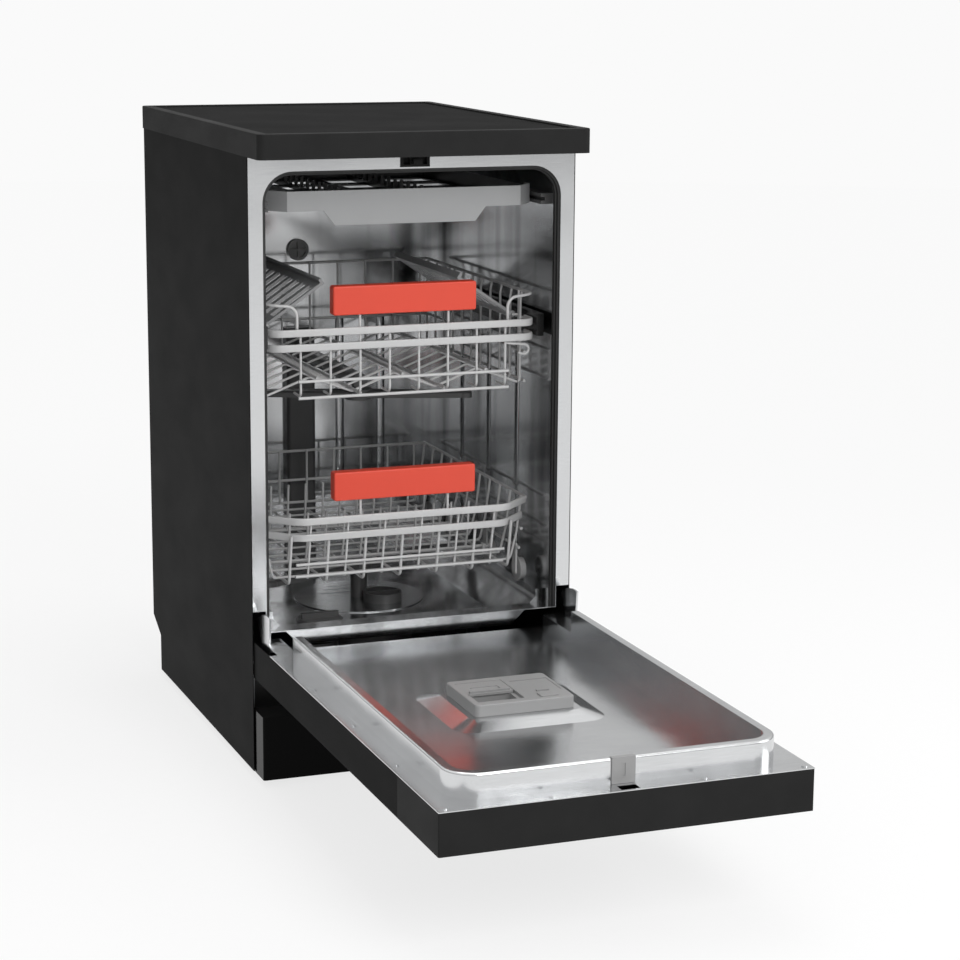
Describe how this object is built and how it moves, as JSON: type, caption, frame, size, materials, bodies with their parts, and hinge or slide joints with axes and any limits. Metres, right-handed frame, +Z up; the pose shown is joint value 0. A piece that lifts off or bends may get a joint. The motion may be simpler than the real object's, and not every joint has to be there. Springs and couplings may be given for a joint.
{
  "type": "freestanding dishwasher",
  "caption": "Slim freestanding dishwasher: black cabinet, bright steel tub, drop-down door with dispenser, wheeled lower rack, railed upper rack, cutlery tray and orange rack grips.",
  "frame": {"origin": "floor level, at the middle of the ground plan with the door open", "axes": "+X to the right seen from the front, +Y from the door's edge into the cabinet, +Z up"},
  "size_m": [0.448, 1.28, 0.85],
  "materials": {
    "black_plastic": "fine satin grain",
    "worktop_board": "fine grain laminate",
    "black_paint": "satin enamel",
    "galvanised": "galvanised sheet",
    "black_gloss": "polished",
    "window_gloss": "smoked, polished",
    "steel_polished": "bright rolled finish",
    "steel_tub": "bright rolled finish",
    "gasket_rubber": "matt",
    "grey_plastic": "satin",
    "dark_plastic": "satin",
    "pump_housing": "satin",
    "rail_metal": "dark zinc plate",
    "button_plastic": "polished",
    "wire_coating": "dipped nylon coat on wire",
    "wheel_plastic": "satin",
    "handle_orange": "satin",
    "tray_plastic": "satin",
    "tray_dark": "satin"
  },
  "bodies": {
    "cabinet": {"worktop_frame": "black_plastic", "worktop_panel": "worktop_board", "side_panel_left": "black_paint", "side_panel_right": "black_paint", "back_panel": "galvanised", "base_tray": "black_plastic", "levelling_feet": "black_plastic", "kickplate": "black_gloss", "front_frame": "steel_polished", "latch_catch": "black_plastic", "tub": "steel_tub", "tub_gasket": "gasket_rubber", "hinge_brackets": "galvanised", "sump": "dark_plastic", "fine_filter_plate": "steel_polished", "water_softener": "dark_plastic", "circulation_pump": "pump_housing", "inlet_valve": "dark_plastic", "feed_duct": "dark_plastic", "vent_cap": "grey_plastic", "upper_rail_outers": "rail_metal", "tray_rails": "dark_plastic"},
    "door": {"door_outer_panel": "black_paint", "control_panel": "black_plastic", "display_window": "window_gloss", "door_inner_liner": "steel_polished", "door_screws": "steel_polished", "latch_striker": "grey_plastic", "hinge_arms": "steel_polished", "dispenser_housing": "grey_plastic"},
    "power_button_body": {"power_button": "button_plastic"},
    "programme_button_body": {"programme_button": "button_plastic"},
    "start_button_body": {"start_button": "button_plastic"},
    "detergent_lid_body": {"detergent_lid": "grey_plastic"},
    "rinse_aid_lid_body": {"rinse_aid_lid": "grey_plastic"},
    "dispenser_button_body": {"dispenser_button": "grey_plastic"},
    "lower_rack": {"lower_rack_floor": "wire_coating", "lower_rack_sides": "wire_coating", "lower_rack_ends": "wire_coating", "lower_rack_handle": "handle_orange"},
    "wheels_first": {"lower_wheels_first": "wheel_plastic"},
    "wheels_second": {"lower_wheels_second": "wheel_plastic"},
    "wheels_third": {"lower_wheels_third": "wheel_plastic"},
    "wheels_fourth": {"lower_wheels_fourth": "wheel_plastic"},
    "front_tines": {"front_tine_row": "wire_coating"},
    "rear_tines": {"rear_tine_row": "wire_coating"},
    "lower_arm": {"lower_spray_arm": "dark_plastic"},
    "upper_rack": {"upper_rack_floor": "wire_coating", "upper_rack_sides": "wire_coating", "upper_rack_ends": "wire_coating", "upper_rack_handle": "handle_orange", "upper_rail_slides": "rail_metal", "upper_feed_tube": "dark_plastic"},
    "cup_shelf_left_body": {"cup_shelf_left": "tray_plastic"},
    "cup_shelf_right_body": {"cup_shelf_right": "tray_plastic"},
    "upper_arm": {"upper_spray_arm": "dark_plastic"},
    "cutlery_tray": {"cutlery_tray_fascia": "tray_plastic", "cutlery_tray_basket": "tray_dark"},
    "coarse_filter_body": {"coarse_filter": "dark_plastic"},
    "salt_cap_body": {"salt_cap": "dark_plastic"}
  },
  "joints": [
    {"name": "door_hinge", "type": "hinge", "parent": "cabinet", "child": "door", "pos_m": [0, 0.027, 0.148], "axis": [-1, 0, 0], "range_deg": [0, 90]},
    {"name": "lower_rack_slide", "type": "slide", "parent": "cabinet", "child": "lower_rack", "axis": [0, 1, 0], "range_m": [-0.396, 0]},
    {"name": "upper_rack_slide", "type": "slide", "parent": "cabinet", "child": "upper_rack", "axis": [0, 1, 0], "range_m": [-0.298, 0]},
    {"name": "cutlery_tray_slide", "type": "slide", "parent": "cabinet", "child": "cutlery_tray", "axis": [0, 1, 0], "range_m": [-0.126, 0]},
    {"name": "wheels_first_roll", "type": "hinge", "parent": "lower_rack", "child": "wheels_first", "pos_m": [0, 0.162, 0.2333], "axis": [-1, 0, 0], "range_deg": [-1514, 0]},
    {"name": "wheels_second_roll", "type": "hinge", "parent": "lower_rack", "child": "wheels_second", "pos_m": [0, 0.276, 0.2333], "axis": [-1, 0, 0], "range_deg": [-1514, 0]},
    {"name": "wheels_third_roll", "type": "hinge", "parent": "lower_rack", "child": "wheels_third", "pos_m": [0, 0.433, 0.2333], "axis": [-1, 0, 0], "range_deg": [-1514, 0]},
    {"name": "wheels_fourth_roll", "type": "hinge", "parent": "lower_rack", "child": "wheels_fourth", "pos_m": [0, 0.546, 0.2333], "axis": [-1, 0, 0], "range_deg": [-1514, 0]},
    {"name": "front_tines_fold", "type": "hinge", "parent": "lower_rack", "child": "front_tines", "pos_m": [0, 0.224, 0.2539], "axis": [-1, 0, 0], "range_deg": [0, 95]},
    {"name": "rear_tines_fold", "type": "hinge", "parent": "lower_rack", "child": "rear_tines", "pos_m": [0, 0.406, 0.2539], "axis": [-1, 0, 0], "range_deg": [0, 95]},
    {"name": "lower_arm_spin", "type": "hinge", "parent": "cabinet", "child": "lower_arm", "pos_m": [0, 0.31, 0.2194], "axis": [0, 0, 1], "continuous": true},
    {"name": "upper_arm_spin", "type": "hinge", "parent": "upper_rack", "child": "upper_arm", "pos_m": [0, 0.31, 0.4654], "axis": [0, 0, 1], "continuous": true},
    {"name": "cup_shelf_left_fold", "type": "hinge", "parent": "upper_rack", "child": "cup_shelf_left_body", "pos_m": [-0.174, 0.295, 0.59], "axis": [0, -1, 0], "range_deg": [0, 50]},
    {"name": "cup_shelf_right_fold", "type": "hinge", "parent": "upper_rack", "child": "cup_shelf_right_body", "pos_m": [0.174, 0.295, 0.59], "axis": [0, 1, 0], "range_deg": [0, 50]},
    {"name": "detergent_lid_slide", "type": "slide", "parent": "door", "child": "detergent_lid_body", "axis": [0, -1, 0], "range_m": [0, 0.034]},
    {"name": "rinse_aid_lid_hinge", "type": "hinge", "parent": "door", "child": "rinse_aid_lid_body", "pos_m": [0.042, -0.2325, 0.1931], "axis": [-1, 0, 0], "range_deg": [0, 90]},
    {"name": "dispenser_button_press", "type": "slide", "parent": "door", "child": "dispenser_button_body", "axis": [0, 0, -1], "range_m": [0, 0.002], "stiffness_N_per_m": 400},
    {"name": "power_button_press", "type": "slide", "parent": "door", "child": "power_button_body", "axis": [0, 0, 1], "range_m": [0, 0.0012], "stiffness_N_per_m": 400},
    {"name": "programme_button_press", "type": "slide", "parent": "door", "child": "programme_button_body", "axis": [0, 0, 1], "range_m": [0, 0.0012], "stiffness_N_per_m": 400},
    {"name": "start_button_press", "type": "slide", "parent": "door", "child": "start_button_body", "axis": [0, 0, 1], "range_m": [0, 0.0012], "stiffness_N_per_m": 400},
    {"name": "coarse_filter_turn", "type": "hinge", "parent": "cabinet", "child": "coarse_filter_body", "pos_m": [0.0246, 0.2772, 0.172], "axis": [0, 0, 1], "range_deg": [0, 90]},
    {"name": "salt_cap_turn", "type": "hinge", "parent": "cabinet", "child": "salt_cap_body", "pos_m": [-0.095, 0.19, 0.172], "axis": [0, 0, 1], "range_deg": [0, 360]}
  ],
  "couplings": [
    {"joint": "wheels_first_roll", "follows": "lower_rack_slide", "rad_per_m": 66.667},
    {"joint": "wheels_second_roll", "follows": "lower_rack_slide", "rad_per_m": 66.667},
    {"joint": "wheels_third_roll", "follows": "lower_rack_slide", "rad_per_m": 66.667},
    {"joint": "wheels_fourth_roll", "follows": "lower_rack_slide", "rad_per_m": 66.667}
  ]
}
